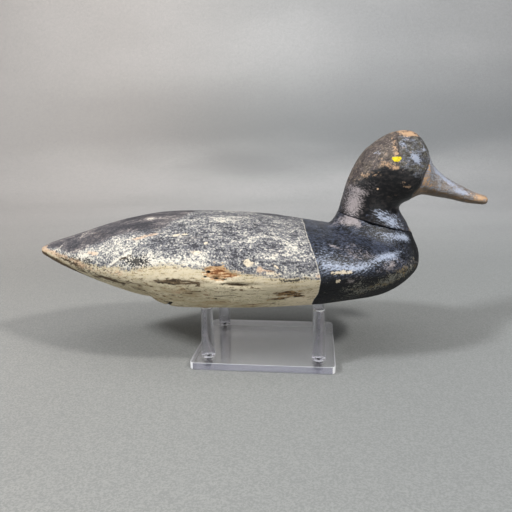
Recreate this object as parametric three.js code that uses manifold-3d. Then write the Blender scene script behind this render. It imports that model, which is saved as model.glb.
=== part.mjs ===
// A hand-carved wooden scaup decoy resting on its clear four-peg stand.
// Millimetres, +Z up, the bill towards +X. The origin is the centre of the stand plate's
// underside, so the stand's foot is the plane z = 0.
// The decoy is two pieces of wood: a solid body with a raised neck shelf, and one piece
// for neck, head and bill that is fixed on that shelf. The stand is a plate, four pegs
// and the screw that holds each peg from below.
import * as THREE from "three";
import { mergeVertices } from "three/addons/utils/BufferGeometryUtils.js";
import Module from "manifold-3d";

// Clearance between pieces that touch
const GAP = 0.3;

// Stand
const PLATE_WIDTH = 101.6;
const PLATE_DEPTH = 88.9;
const PLATE_THICKNESS = 5;
const PLATE_CORNER_RADIUS = 4;
const STAND_TURN = THREE.MathUtils.degToRad(-5.15);
const PEG_SPACING_X = 78.6;
const PEG_SPACING_Y = 64.5;
const PEG_HEIGHT = 37.1;
const PEG_FOOT_RADIUS = 4.9;
const PEG_TOP_RADIUS = 3.9;
const PEG_FOOT_ROUNDING = 1.2;
const PEG_TOP_ROUNDING = 0.5;
const PEG_SIDES = 20;
const SCREW_SIDES = 12;
const SCREW_HEAD_RADIUS = 2.8;
const SCREW_HEAD_RIM = 0.6;
const SCREW_HEAD_HEIGHT = 2.1;
const SCREW_SHANK_RADIUS = 1.3;
const SCREW_REACH_IN_PEG = 2.5;

// Decoy
const PEG_TOP = PLATE_THICKNESS + GAP + PEG_HEIGHT;
const BOTTOM = PEG_TOP + GAP;
const SIDES_UPPER = 11; // faces from the neck's edge to the widest line, on each side
const SIDES_NECK = 4; // faces across half of the neck shelf
const SIDES_LOWER = 5; // faces from the widest line to the flat bottom
const SIDES_BOTTOM = 2; // faces across half of the flat bottom
const UPPER_FULLNESS = 2.15; // exponent of the section above the widest line: 2 is an ellipse
const LOWER_FULLNESS = 1.5; // exponent below it: 1 is a straight bevel
const UPPER_CROWDING = 1.25; // above 1, the faces lie closer together at the neck's edge
const HEAD_SIDES = 26;
const WELD_DISTANCE = 1e-4;

// The neck joint: a plane that slopes down to the front, with an oval outline.
const SEAM_BACK = new THREE.Vector2(52.2, 104.6);
const SEAM_FRONT = new THREE.Vector2(105.8, 89.4);
const SEAM_HALF_WIDTH = 20;
const SHELF_WALL = 57; // how fast the wall below the joint drops, per half length of it
const SHELF_NOSE = 5; // half width at which the shelf's outline starts and ends
const FILLET_SIDE = 13; // blend between that wall and the shoulders
const FILLET_BACK = 4; // and between it and the back
const ZONE_FADE = 0.8; // past the shelf's ends the sections' neck zone widens over this share
const ZONE_SPREAD = 9; // by this much
const ZONE_SHARE = 0.4; // and stays within this share of the body's half width

// The carver's template for the body: at each station along it, the height of the ridge,
// of the keel, the half width, the height of the widest line and the flat bottom's half width.
const BODY_STATIONS = [
  { x: -168.1, ridge: 80.9, keel: 75.3, half: 2.4, wide: 78.6, flat: 1 },
  { x: -165.5, ridge: 82.4, keel: 74.5, half: 5.6, wide: 78.3, flat: 2.2 },
  { x: -159, ridge: 85.2, keel: 72.1, half: 11.5, wide: 77.5, flat: 5 },
  { x: -147, ridge: 88.8, keel: 67.3, half: 20.5, wide: 75.8, flat: 8 },
  { x: -126, ridge: 95.1, keel: 59.9, half: 34.0, wide: 73.2, flat: 12 },
  { x: -105, ridge: 100.9, keel: 52.7, half: 45.0, wide: 71.0, flat: 15 },
  { x: -86, ridge: 104.2, keel: 47.3, half: 52.0, wide: 69.6, flat: 17 },
  { x: -80, ridge: 104.9, keel: 46.7, half: 53.8, wide: 69.3, flat: 16 },
  { x: -75.5, ridge: 105.4, keel: BOTTOM, half: 55.0, wide: 69.0, flat: 18.5 },
  { x: -60, ridge: 106.1, keel: BOTTOM, half: 58.0, wide: 68.8, flat: 30 },
  { x: -35, ridge: 105.9, keel: BOTTOM, half: 60.2, wide: 68.8, flat: 32.5 },
  { x: -5, ridge: 103.8, keel: BOTTOM, half: 60.6, wide: 69.0, flat: 34 },
  { x: 20, ridge: 99.8, keel: BOTTOM, half: 59.6, wide: 69.3, flat: 30.5 },
  { x: 40, ridge: 96.5, keel: BOTTOM, half: 57.0, wide: 69.5, flat: 26.5 },
  { x: 60, ridge: 93.1, keel: BOTTOM, half: 52.3, wide: 69.6, flat: 18 },
  { x: 76, ridge: 89.6, keel: 43.1, half: 46.5, wide: 69.6, flat: 11 },
  { x: 88, ridge: 85.6, keel: 46.0, half: 39.5, wide: 69.4, flat: 9 },
  { x: 97.5, ridge: 81.6, keel: 51.6, half: 31.5, wide: 69.2, flat: 8 },
  { x: 105.2, ridge: 77.6, keel: 58.2, half: 22.5, wide: 69.0, flat: 6 },
  { x: 109.3, ridge: 73.8, keel: 63.9, half: 12.5, wide: 68.8, flat: 3 },
  { x: 110.9, ridge: 70.4, keel: 67.8, half: 3.0, wide: 68.8, flat: 0.6 },
];

// Where the body is sliced into sections: close together where the form turns quickly.
const TAIL_SLICES = [-168.1, -167.2, -165.4, -162, -157, -151, -144, -136, -127, -117, -107];
const HEEL_SLICES = [-97, -89, -83, -80, -77.8, -75.5, -71, -65];
const BACK_SLICES = [-56, -46, -36, -26, -16, -6, 4, 14, 23, 31, 37, 41.5, 45, 47.3, 49, 50.6];
const SHELF_SLICES = [-0.971, -0.9, -0.78, -0.6, -0.35, 0, 0.35, 0.6, 0.78, 0.9, 0.971];
const BREAST_SLICES = [106.5, 107.8, 109.1, 110.2, 110.9];

// Neck, head and bill, carved in one. Each row is a slice from the outline on the back of
// the neck, the crown and the bill's top to the outline of the throat, chin and bill's
// underside; half is its half width, fullness the exponent of its oval, and low is how far
// its bulk sits towards the chin.
// The first row is the joint's own outline.
const SEAM_ROW = {
  top: SEAM_BACK.toArray(),
  under: SEAM_FRONT.toArray(),
  half: SEAM_HALF_WIDTH,
  fullness: 2,
  low: 0,
};
const HEAD_ROWS = [
  SEAM_ROW,
  { top: [53.6, 109.6], under: [101.9, 97.0], half: 18.8, fullness: 2.0, low: 0 },
  { top: [55.6, 116.2], under: [97.8, 102.8], half: 18.1, fullness: 2.0, low: 0 },
  { top: [57.7, 124.1], under: [96.0, 106.7], half: 18.3, fullness: 2.0, low: 0 },
  { top: [60.8, 132.2], under: [97.3, 109.0], half: 19.3, fullness: 2.05, low: 0 },
  { top: [65.0, 140.7], under: [99.8, 110.8], half: 21.0, fullness: 2.1, low: 0.03 },
  { top: [70.7, 148.2], under: [102.3, 112.0], half: 22.3, fullness: 2.15, low: 0.06 },
  { top: [78.3, 154.5], under: [104.0, 113.0], half: 22.8, fullness: 2.2, low: 0.08 },
  { top: [86.6, 159.3], under: [105.5, 113.9], half: 22.4, fullness: 2.2, low: 0.08 },
  { top: [95.6, 161.4], under: [106.9, 114.6], half: 21.3, fullness: 2.2, low: 0.08 },
  { top: [103.2, 160.5], under: [108.0, 115.0], half: 19.7, fullness: 2.2, low: 0.08 },
  { top: [108.7, 155.8], under: [108.9, 115.3], half: 17.9, fullness: 2.2, low: 0.08 },
  { top: [112.9, 149.0], under: [109.7, 115.6], half: 16.2, fullness: 2.2, low: 0.08 },
  { top: [116.0, 142.0], under: [110.4, 115.7], half: 14.9, fullness: 2.2, low: 0.1 },
  { top: [117.7, 138.2], under: [111.3, 115.8], half: 13.2, fullness: 2.2, low: 0.14 },
  { top: [121.2, 134.0], under: [115.0, 115.5], half: 12.4, fullness: 2.2, low: 0.18 },
  { top: [125.8, 129.8], under: [121.0, 114.2], half: 11.8, fullness: 2.2, low: 0.18 },
  { top: [131.6, 126.3], under: [128.5, 113.0], half: 11.4, fullness: 2.25, low: 0.16 },
  { top: [138.6, 122.2], under: [137.0, 110.8], half: 11.4, fullness: 2.3, low: 0.14 },
  { top: [146.0, 118.2], under: [145.3, 109.2], half: 11.7, fullness: 2.4, low: 0.1 },
  { top: [152.0, 116.1], under: [151.8, 108.5], half: 11.4, fullness: 2.5, low: 0.06 },
  { top: [155.2, 115.2], under: [154.8, 108.4], half: 9.6, fullness: 2.4, low: 0.04 },
  { top: [156.6, 114.2], under: [156.4, 109.2], half: 5.8, fullness: 2.2, low: 0 },
  { top: [157.1, 112.6], under: [157.1, 110.9], half: 1.6, fullness: 2.0, low: 0 },
];
const SLICES_PER_HEAD_ROW = 2;

const PAINTED_WOOD = new THREE.MeshStandardMaterial({ color: 0x8a8a86, roughness: 0.75 });
const BLACK_WOOD = new THREE.MeshStandardMaterial({ color: 0x2a2a2e, roughness: 0.5 });
const CLEAR_ACRYLIC = new THREE.MeshStandardMaterial({
  color: 0xe8ecef,
  roughness: 0.05,
  transparent: true,
  opacity: 0.35,
});
const SCREW_STEEL = new THREE.MeshStandardMaterial({ color: 0x2b2c30, roughness: 0.4, metalness: 1 });

// A smooth curve through four numbers, at a share of the way from the second to the third.
function throughFour(before, from, to, after, share) {
  const bend = 2 * before - 5 * from + 4 * to - after;
  const twist = 3 * (from - to) + after - before;
  return from + 0.5 * share * (to - before + share * (bend + share * twist));
}

// A row of the table at a fractional place, each of its numbers on such a curve.
function rowAt(rows, place) {
  const index = Math.min(Math.floor(place), rows.length - 2);
  const pick = (i) => rows[THREE.MathUtils.clamp(i, 0, rows.length - 1)];
  const four = [pick(index - 1), pick(index), pick(index + 1), pick(index + 2)];
  const blend = (values) => throughFour(...values, place - index);
  const row = {};
  for (const key of Object.keys(four[1])) {
    const values = four.map((r) => r[key]);
    row[key] = Array.isArray(values[0])
      ? values[0].map((_, axis) => blend(values.map((v) => v[axis])))
      : blend(values);
  }
  return row;
}

// The same for the body, found by its distance along the body instead of by its place.
function stationAt(x) {
  const halvings = 40;
  let low = 0;
  let high = BODY_STATIONS.length - 1;
  for (let step = 0; step < halvings; step++) {
    const middle = (low + high) / 2;
    if (rowAt(BODY_STATIONS, middle).x < x) low = middle;
    else high = middle;
  }
  return { ...rowAt(BODY_STATIONS, (low + high) / 2), x };
}

// The larger of two heights, with a rounded change from one to the other.
function roundedMax(a, b, rounding) {
  const overlap = Math.max(rounding - Math.abs(a - b), 0) / rounding;
  return Math.max(a, b) + (overlap * overlap * rounding) / 4;
}

// One side of an oval from its top (angle 0) to its side (angle 90 degrees).
function ovalSide(angle, fullness) {
  const power = 2 / fullness;
  return Math.sin(angle) ** power;
}

function ovalHeight(angle, fullness) {
  const cosine = Math.cos(angle);
  return Math.sign(cosine) * Math.abs(cosine) ** (2 / fullness);
}

// Joins a row of equal rings into one closed solid with a fan of faces at each end.
function loft(rings) {
  const count = rings[0].length;
  const points = rings.flat();
  const faces = [];
  const quad = (a, b, c, d) => faces.push(a, b, c, a, c, d);
  for (let r = 0; r + 1 < rings.length; r++) {
    for (let i = 0; i < count; i++) {
      const next = (i + 1) % count;
      quad(r * count + i, r * count + next, (r + 1) * count + next, (r + 1) * count + i);
    }
  }
  const close = (first, turned) => {
    const middle = new THREE.Vector3();
    for (let i = 0; i < count; i++) middle.addScaledVector(points[first + i], 1 / count);
    points.push(middle);
    for (let i = 0; i < count; i++) {
      const a = first + i;
      const b = first + ((i + 1) % count);
      faces.push(points.length - 1, turned ? a : b, turned ? b : a);
    }
  };
  close(0, false);
  close((rings.length - 1) * count, true);
  const geometry = new THREE.BufferGeometry().setFromPoints(points);
  geometry.setIndex(faces);
  geometry.computeVertexNormals();
  return geometry;
}

// Height of the neck joint's plane at a distance along the body.
function seamHeight(x) {
  const share = (x - SEAM_BACK.x) / (SEAM_FRONT.x - SEAM_BACK.x);
  return THREE.MathUtils.lerp(SEAM_BACK.y, SEAM_FRONT.y, share);
}

const SEAM_MIDDLE_X = (SEAM_BACK.x + SEAM_FRONT.x) / 2;
const SEAM_HALF_LENGTH = (SEAM_FRONT.x - SEAM_BACK.x) / 2;

// How far out a point is from the joint's middle: 1 on its outline.
function seamDistance(x, y) {
  return Math.hypot((x - SEAM_MIDDLE_X) / SEAM_HALF_LENGTH, y / SEAM_HALF_WIDTH);
}

// Height of the body's top: the rounded back, blended into the wall of the neck shelf,
// which is cut off along the joint's plane.
function topHeight(x, y, back) {
  const distance = seamDistance(x, y);
  const wall = seamHeight(x) + SHELF_WALL * (1 - distance);
  const behind = THREE.MathUtils.clamp((SEAM_MIDDLE_X - x) / SEAM_HALF_LENGTH, 0, 1);
  const sideways = Math.min(Math.abs(y) / SEAM_HALF_WIDTH, 1);
  const backness = behind * Math.sqrt(1 - sideways);
  const fillet = THREE.MathUtils.lerp(FILLET_SIDE, FILLET_BACK, backness);
  return Math.min(roundedMax(back, wall, fillet), seamHeight(x) - GAP);
}

// Half width of the zone whose edge follows the neck shelf's outline.
function neckZone(x, half) {
  const along = (x - SEAM_MIDDLE_X) / SEAM_HALF_LENGTH;
  const outline = SEAM_HALF_WIDTH * Math.sqrt(Math.max(1 - along * along, 0));
  const away = THREE.MathUtils.smoothstep(Math.abs(along) - 1, 0, ZONE_FADE);
  const zone = Math.max(outline, SHELF_NOSE) + away * ZONE_SPREAD;
  return Math.min(zone, ZONE_SHARE * half);
}

// One half of a section of the body, from the ridge round to the keel.
function bodySection(x) {
  const s = stationAt(x);
  const zone = neckZone(x, s.half);
  const half = [];
  const upperPoint = (angle) => {
    const y = s.half * ovalSide(angle, UPPER_FULLNESS);
    const back = s.wide + (s.ridge - s.wide) * ovalHeight(angle, UPPER_FULLNESS);
    return [y, topHeight(x, y, back)];
  };
  const zoneAngle = Math.asin((zone / s.half) ** (UPPER_FULLNESS / 2));
  for (let i = 0; i < SIDES_NECK; i++) {
    const y = (zone * i) / SIDES_NECK;
    half.push(upperPoint(Math.asin((y / s.half) ** (UPPER_FULLNESS / 2))));
  }
  for (let i = 0; i < SIDES_UPPER; i++) {
    const share = (i / SIDES_UPPER) ** UPPER_CROWDING;
    half.push(upperPoint(THREE.MathUtils.lerp(zoneAngle, Math.PI / 2, share)));
  }
  for (let i = 0; i < SIDES_LOWER; i++) {
    const angle = (Math.PI / 2) * (1 - i / SIDES_LOWER);
    const y = s.flat + (s.half - s.flat) * ovalSide(angle, LOWER_FULLNESS);
    const z = s.wide - (s.wide - s.keel) * ovalHeight(angle, LOWER_FULLNESS);
    half.push([y, z]);
  }
  for (let i = 0; i <= SIDES_BOTTOM; i++) half.push([s.flat * (1 - i / SIDES_BOTTOM), s.keel]);
  return half;
}

// Both sides of such a section as one ring in the plane at x.
function bodyRing(x) {
  const half = bodySection(x);
  const right = half.map(([y, z]) => new THREE.Vector3(x, -y, z));
  const left = half.slice(1, -1).map(([y, z]) => new THREE.Vector3(x, y, z));
  return [...right, ...left.reverse()];
}

function bodyGeometry() {
  const shelf = SHELF_SLICES.map((share) => SEAM_MIDDLE_X + share * SEAM_HALF_LENGTH);
  const slices = [...TAIL_SLICES, ...HEEL_SLICES, ...BACK_SLICES, ...shelf, ...BREAST_SLICES];
  return loft(slices.map(bodyRing));
}

// One slice of the head as a ring through its two outline points.
function headRing(row) {
  const top = new THREE.Vector3(row.top[0], 0, row.top[1]);
  const under = new THREE.Vector3(row.under[0], 0, row.under[1]);
  const middle = top.clone().add(under).multiplyScalar(0.5);
  const reach = top.clone().sub(under).multiplyScalar(0.5);
  const ring = [];
  for (let i = 0; i < HEAD_SIDES; i++) {
    const angle = (2 * Math.PI * i) / HEAD_SIDES;
    const sine = Math.sin(angle);
    const along = ovalHeight(angle, row.fullness);
    const bulk = 1 - row.low * Math.cos(angle);
    const across = Math.sign(sine) * Math.abs(sine) ** (2 / row.fullness) * bulk;
    const point = middle.clone().addScaledVector(reach, along);
    point.y = -row.half * across;
    ring.push(point);
  }
  return ring;
}

function headGeometry() {
  const rings = [];
  const steps = (HEAD_ROWS.length - 1) * SLICES_PER_HEAD_ROW;
  for (let step = 0; step <= steps; step++) {
    rings.push(headRing(rowAt(HEAD_ROWS, step / SLICES_PER_HEAD_ROW)));
  }
  return loft(rings);
}

// A shape turned about the Z axis, from points given as radius and height.
function turned(profile, sides) {
  const points = profile.map(([radius, height]) => new THREE.Vector2(radius, height));
  const geometry = new THREE.LatheGeometry(points, sides);
  geometry.rotateX(Math.PI / 2);
  return geometry;
}

// Points of a quarter circle between two directions, for a rounded edge in a turned profile.
function roundedEdge(radius, height, rounding, fromDegrees, toDegrees) {
  const steps = 3;
  const points = [];
  for (let i = 0; i <= steps; i++) {
    const angle = THREE.MathUtils.degToRad(THREE.MathUtils.lerp(fromDegrees, toDegrees, i / steps));
    points.push([radius + rounding * Math.cos(angle), height + rounding * Math.sin(angle)]);
  }
  return points;
}

const HOLE_RADIUS = SCREW_SHANK_RADIUS + GAP;
const PEG_HOLE_DEPTH = SCREW_REACH_IN_PEG + GAP;

function pegGeometry() {
  const foot = roundedEdge(
    PEG_FOOT_RADIUS - PEG_FOOT_ROUNDING, PEG_FOOT_ROUNDING, PEG_FOOT_ROUNDING, -90, 0,
  );
  const top = roundedEdge(
    PEG_TOP_RADIUS - PEG_TOP_ROUNDING, PEG_HEIGHT - PEG_TOP_ROUNDING, PEG_TOP_ROUNDING, 0, 90,
  );
  const hole = [[0, PEG_HOLE_DEPTH], [HOLE_RADIUS, PEG_HOLE_DEPTH], [HOLE_RADIUS, 0]];
  return turned([...hole, ...foot, ...top, [0, PEG_HEIGHT]], PEG_SIDES);
}

// The countersunk screw, drawn from its head's underside upwards.
function screwProfile(clearance) {
  const tip = PLATE_THICKNESS + SCREW_REACH_IN_PEG;
  return [
    [0, 0],
    [SCREW_HEAD_RADIUS + clearance, 0],
    [SCREW_HEAD_RADIUS + clearance, SCREW_HEAD_RIM + clearance],
    [SCREW_SHANK_RADIUS + clearance, SCREW_HEAD_HEIGHT + clearance],
    [SCREW_SHANK_RADIUS + clearance, tip],
    [0, tip],
  ];
}

// Centres of the four pegs in the stand's own frame.
const PEG_PLACES = [
  { name: "front_left", x: -PEG_SPACING_X / 2, y: -PEG_SPACING_Y / 2 },
  { name: "front_right", x: PEG_SPACING_X / 2, y: -PEG_SPACING_Y / 2 },
  { name: "back_left", x: -PEG_SPACING_X / 2, y: PEG_SPACING_Y / 2 },
  { name: "back_right", x: PEG_SPACING_X / 2, y: PEG_SPACING_Y / 2 },
];

const manifold = await Module();
manifold.setup();

function toSolid(geometry) {
  const bare = geometry.clone();
  bare.deleteAttribute("normal");
  bare.deleteAttribute("uv");
  const merged = mergeVertices(bare, WELD_DISTANCE);
  return new manifold.Manifold(
    new manifold.Mesh({
      numProp: 3,
      vertProperties: new Float32Array(merged.attributes.position.array),
      triVerts: new Uint32Array(merged.index.array),
    }),
  );
}

function toGeometry(solid) {
  const mesh = solid.getMesh();
  const geometry = new THREE.BufferGeometry();
  geometry.setAttribute("position", new THREE.BufferAttribute(mesh.vertProperties, 3));
  geometry.setIndex(new THREE.BufferAttribute(mesh.triVerts, 1));
  geometry.computeVertexNormals();
  return geometry;
}

// The plate, with a countersunk hole from below for each screw.
function plateGeometry() {
  const x = PLATE_WIDTH / 2;
  const y = PLATE_DEPTH / 2;
  const r = PLATE_CORNER_RADIUS;
  const outline = new THREE.Shape();
  outline.absarc(x - r, y - r, r, 0, Math.PI / 2);
  outline.absarc(-x + r, y - r, r, Math.PI / 2, Math.PI);
  outline.absarc(-x + r, -y + r, r, Math.PI, 1.5 * Math.PI);
  outline.absarc(x - r, -y + r, r, 1.5 * Math.PI, 2 * Math.PI);
  const sheet = new THREE.ExtrudeGeometry(outline, {
    depth: PLATE_THICKNESS,
    bevelEnabled: false,
    curveSegments: 6,
  });
  let plate = toSolid(sheet);
  for (const place of PEG_PLACES) {
    const cutter = turned(screwProfile(GAP), SCREW_SIDES);
    cutter.translate(place.x, place.y, 0);
    plate = plate.subtract(toSolid(cutter));
  }
  return toGeometry(plate);
}

function piece(name, geometry, material) {
  const mesh = new THREE.Mesh(geometry, material);
  mesh.name = name;
  return mesh;
}

function buildStand() {
  const stand = new THREE.Group();
  stand.rotation.z = STAND_TURN;
  stand.add(piece("stand_plate", plateGeometry(), CLEAR_ACRYLIC));
  for (const place of PEG_PLACES) {
    const peg = piece(`stand_peg_${place.name}`, pegGeometry(), CLEAR_ACRYLIC);
    peg.position.set(place.x, place.y, PLATE_THICKNESS + GAP);
    stand.add(peg);
    const screw = piece(`stand_screw_${place.name}`, turned(screwProfile(0), SCREW_SIDES), SCREW_STEEL);
    screw.position.set(place.x, place.y, 0);
    stand.add(screw);
  }
  return stand;
}

function buildDecoy() {
  const decoy = new THREE.Group();
  decoy.add(piece("decoy_body", bodyGeometry(), PAINTED_WOOD));
  decoy.add(piece("decoy_head", headGeometry(), BLACK_WOOD));
  return decoy;
}

const part = new THREE.Group();
part.add(buildDecoy(), buildStand());

export default part;
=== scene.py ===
"""A carved and painted scaup decoy on its clear stand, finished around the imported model."""

import math
from types import SimpleNamespace

import bpy
import numpy as np
from mathutils import Matrix, Vector, noise


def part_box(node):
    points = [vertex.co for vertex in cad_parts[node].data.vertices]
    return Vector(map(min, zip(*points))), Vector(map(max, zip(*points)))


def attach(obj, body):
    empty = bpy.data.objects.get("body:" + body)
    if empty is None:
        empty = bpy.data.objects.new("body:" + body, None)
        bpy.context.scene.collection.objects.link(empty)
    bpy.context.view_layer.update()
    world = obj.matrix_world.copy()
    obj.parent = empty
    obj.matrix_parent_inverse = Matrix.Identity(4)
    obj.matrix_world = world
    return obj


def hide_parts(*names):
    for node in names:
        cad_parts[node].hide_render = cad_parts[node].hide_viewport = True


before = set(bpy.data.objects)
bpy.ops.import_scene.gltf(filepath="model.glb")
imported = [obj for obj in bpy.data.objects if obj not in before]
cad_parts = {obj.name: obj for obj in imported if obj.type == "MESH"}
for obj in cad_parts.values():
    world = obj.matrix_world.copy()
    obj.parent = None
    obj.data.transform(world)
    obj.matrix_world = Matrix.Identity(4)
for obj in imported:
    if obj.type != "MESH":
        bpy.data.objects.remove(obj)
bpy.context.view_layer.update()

MM = 0.001


def linear(red, green, blue):
    """A paint's colour as the shader needs it, from its usual numbers of 0 to 255."""
    return tuple((value / 255) ** 2.2 for value in (red, green, blue)) + (1,)


# The camera, in millimetres and degrees
LENS = 35.16
SENSOR = 36
CAMERA_PLACE = (5.1, -362.7, 154.5)
CAMERA_YAW = -2.0
CAMERA_DOWN = 12.81
CAMERA_ROLL = -1.094

# The lights: place, aim, width and height in metres, power in watts, colour
LIGHTS = {
    "top_soft_box": ((0.05, -0.35, 1.4), (0, 0.02, 0.03), (1.7, 1.1), 9.2, (1.0, 0.99, 0.975)),
    "right_soft_box": ((0.74, -0.65, 1.03), (0, 0.02, 0.03), (0.14, 0.14), 11.7, (1.0, 0.985, 0.96)),
    "left_soft_box": ((-0.96, -0.62, 1.01), (0, 0.02, 0.03), (0.2, 0.2), 18.0, (0.97, 0.985, 1.0)),
    "low_fill": ((0.7, -2.1, 0.3), (0.02, 0, 0.06), (1.6, 0.4), 8.0, (1.0, 0.99, 0.97)),
    "wall_wash": ((-0.38, 0.6, 1.1), (-0.2, 1.6, 0.78), (1.9, 0.5), 10.2, (1.0, 0.99, 0.98)),
}
ROOM_LIGHT = (0.92, 0.95, 1.0, 1)
ROOM_STRENGTH = 0.22

# The sheet under and behind the decoy, in metres
FLOOR_DROP = 0.0003
FLOOR_REACH = 8.0
BACKDROP_START = 0.85
BACKDROP_RADIUS = 0.7
BACKDROP_STEPS = 24
WALL_HEIGHT = 2.6

# The clear stand, in millimetres. A peg's taper is its top radius over its bottom radius.
PLACES = ("front_left", "front_right", "back_left", "back_right")
PEG_TAPER = 0.8
PEG_ROUNDING = 0.9
PEG_SIDES = 64
HOLE_RADIUS = 1.6
HOLE_DEPTH = 2.8
HOLE_REACH = 5
PLATE_ROUNDING = 0.6
# Shares of a face's normal along one axis: a level face, one turned that way, an upright one
LEVEL = 0.98
TURNED = 0.9
UPRIGHT = 0.2

# How finely the carved surfaces are meshed, in millimetres
BODY_VOXEL = 0.97
HEAD_VOXEL = 0.52
# How the solids are rounded off before they are carved: millimetres, degrees and a share
MERGE_REACH = 0.01
FACET_ANGLE = 50
SHARP_ANGLE = 55
SHARP_CREASE = 0.85

# How deep the body is cut, or how far it is raised, in millimetres
WAVE_DEPTH = 0.35
TOOL_MARK_DEPTH = 0.12
FIBRE_DEPTH = 0.05
FINE_DEPTH = 0.06
BREAST_DEPTH = 0.12
SPLINTER_DEPTH = 0.75
SPLINTER_FIBRES = 0.9
CHIP_DEPTH = 0.18
HOLLOW_DEPTH = 0.75
HOLLOW_FIBRES = 0.3
CRACK_DEPTH = 0.9
PIT_DEPTH = 1.1
SCRATCH_RIDGE = 0.12
SLIT_DEPTH = 0.9
BODY_MARGIN = 0.25
SEAM_SWELL = 0.9
# The same for the head
HEAD_WAVE_DEPTH = 0.22
SCALE_DEPTH = 0.09
HEAD_FINE_DEPTH = 0.04
GROOVE_DEPTH = 0.45
BILL_STEP_DEPTH = 0.35
CROWN_CHIP_DEPTH = 0.25
HEAD_MARGIN = 0.1
HEAD_SEAM_SWELL = 0.2

# What stands for outside of all marks and for far from any line
OUTSIDE = -4.0
FAR_AWAY = 1e3
# How far each seed moves the noise of the carving
SEED_STEP = 7.31

# Height of the body's widest line along it. A place on the body is given by x, in
# millimetres, and by its turn: degrees up from that line, with the ridge at 90.
WIDEST_LINE = [(-168, 79.0), (-126, 73.2), (-86, 69.6), (0, 69.0), (112, 69.0)]
# On the far side, marks behind FAR_END lie in the opposite order about FAR_MIDDLE
FAR_END = 25
FAR_MIDDLE = -45
# The x where the breast turns to the front, and where the belly comes near the breast, from where it is
# painted lighter as painted light
FRONT_START = 99
BY_BREAST_START = 14

# The edge between the grey flank and the black breast: turn and x
BREAST_EDGE = [
    (-90, 36), (-30, 31), (-20, 32), (-10, 34.2), (0, 35), (10, 33), (20, 30.5), (30, 28.5), (45, 27.6),
    (90, 27.3),
]
# The dark rump lies above the first line, the cream belly below the second: x and turn
RUMP_EDGE = [
    (-168, 33), (-155, 25), (-142, 19), (-130, 17), (-122, 24), (-110, 30), (-100, 38), (-85, 42),
    (-70, 45), (-58, 62), (-48, 110),
]
BELLY_EDGE = [
    (-168, 20), (-155, 11), (-142, 7), (-130, 7), (-120, 6), (-108, 5), (-100, 7), (-90, 5), (-75, 8.5),
    (-60, 11), (-45, 8.5), (-20, 6), (0, 3.5), (20, 1.5), (36, 0.5),
]
# The underside of the tail is painted dark below this line: painted shade
TAIL_SHADE_EDGE = [(-168, -1), (-150, -4), (-140, -8), (-130, -18), (-115, -30), (-100, -60), (-90, -100)]

# Soft patches: x, turn, half length, half height in degrees, slope in degrees per mm, strength.
# Lighter and darker speckle of the flank, and its soot:
PALE_PATCHES = [
    (-102, 26, 28, 9, 0.42, 0.27), (-84, 66, 9, 8, 0.3, 0.42), (-65, 74, 14, 12, 0, 0.15),
    (-30, 60, 16, 7, 0.3, 0.22), (-27, 54, 8, 3, 0.2, 0.4), (-60, 12, 24, 4, 0, 0.4),
    (-42, 18, 6, 2.5, 0, 0.4), (-25, 29, 17, 4, -0.9, 0.14), (14, 27, 10, 4, -0.8, 0.2),
    (10, 42, 18, 12, 0, -0.08), (-38, 17, 14, 5, 0, 0.12), (-8, 27, 6, 3, 0, 0.25), (-3, 33, 5, 3, 0, 0.2),
    (3, 14, 6, 3, -0.2, 0.2), (-90, 20, 11, 7, 0, 0.06), (-118, 14, 10, 5, 0, 0.14),
    (18, 4, 16, 2.5, -0.1, 0.2), (-65, 29, 13, 8, 0, -0.2), (-50, 22, 12, 5, 0, -0.08),
    (-84, 12, 13, 5, 0, 0.3), (-128, 10, 14, 5, -0.3, 0.28), (-150, 15, 16, 5, -0.6, 0.2),
    (-85, 50, 17, 7, 0, -0.35), (-14, 50, 13, 7, 0, -0.12), (3, 24, 7, 4, 0, -0.16),
    (16, 11, 15, 4, 0, -0.1), (-20, 17, 14, 4, 0, -0.12), (-94, 82, 12, 16, 0, -0.3),
    (-10, 78, 50, 18, 0, -0.1),
]
SOOT_PATCHES = [
    (-84, 12.4, 12, 5, 0, 1.05), (-129, 7, 16, 5, -0.3, 0.6), (-138, 1, 24, 6, -0.25, 0.42),
    (-105, 2, 14, 4, 0, 0.42), (-118, 12, 9, 5, 0, 0.35), (-85, 50, 20, 8, 0, 0.35),
    (-148, 11, 16, 5, -0.6, 0.5), (-121, 9, 4, 2, 0, 0.6), (-108, 27, 3, 2, 0, 0.6),
    (19, 0.4, 10, 1.1, 0.1, 0.9), (6, 1.4, 12, 0.8, -0.1, 0.6), (-138, 26, 7, 5, 0, 0.4),
    (28, 3, 5, 1.2, 0, 0.5),
]
# Where bare wood tints the paint:
TINT_PATCHES = [
    (-75, 35, 5, 2, 0, 0.8), (-84, 32, 7, 2, 0.2, 0.9), (-117, 17, 7, 3, 0, 0.9),
    (-103, 26, 6, 2.5, 0.3, 0.5), (-95, -10, 7, 3, 0, 0.5), (-57, -9, 6, 3, 0, 0.6),
    (-157, 11, 14, 9, -0.6, 0.95), (-136, 6, 16, 5, -0.3, 0.75), (-118, 1, 14, 4, 0, 0.6),
    (-98, 2, 12, 4, 0, 0.5), (-75, 6, 14, 2, 0, 0.35), (-38, -8, 9, 4, 0, 0.4), (-166, 20, 5, 40, 0, 1.2),
    (-145, -9, 10, 4, -0.3, 0.6), (-44, 18, 5, 2, 0, 0.5), (-3.6, 7.4, 1.9, 2.4, 0, 1.2),
    (3, 6.4, 5.5, 0.8, -0.15, 1.1), (34.6, 2.6, 3.2, 1.4, 0, 1.0), (-17, 6, 6, 1.5, 0, 0.6),
]
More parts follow.
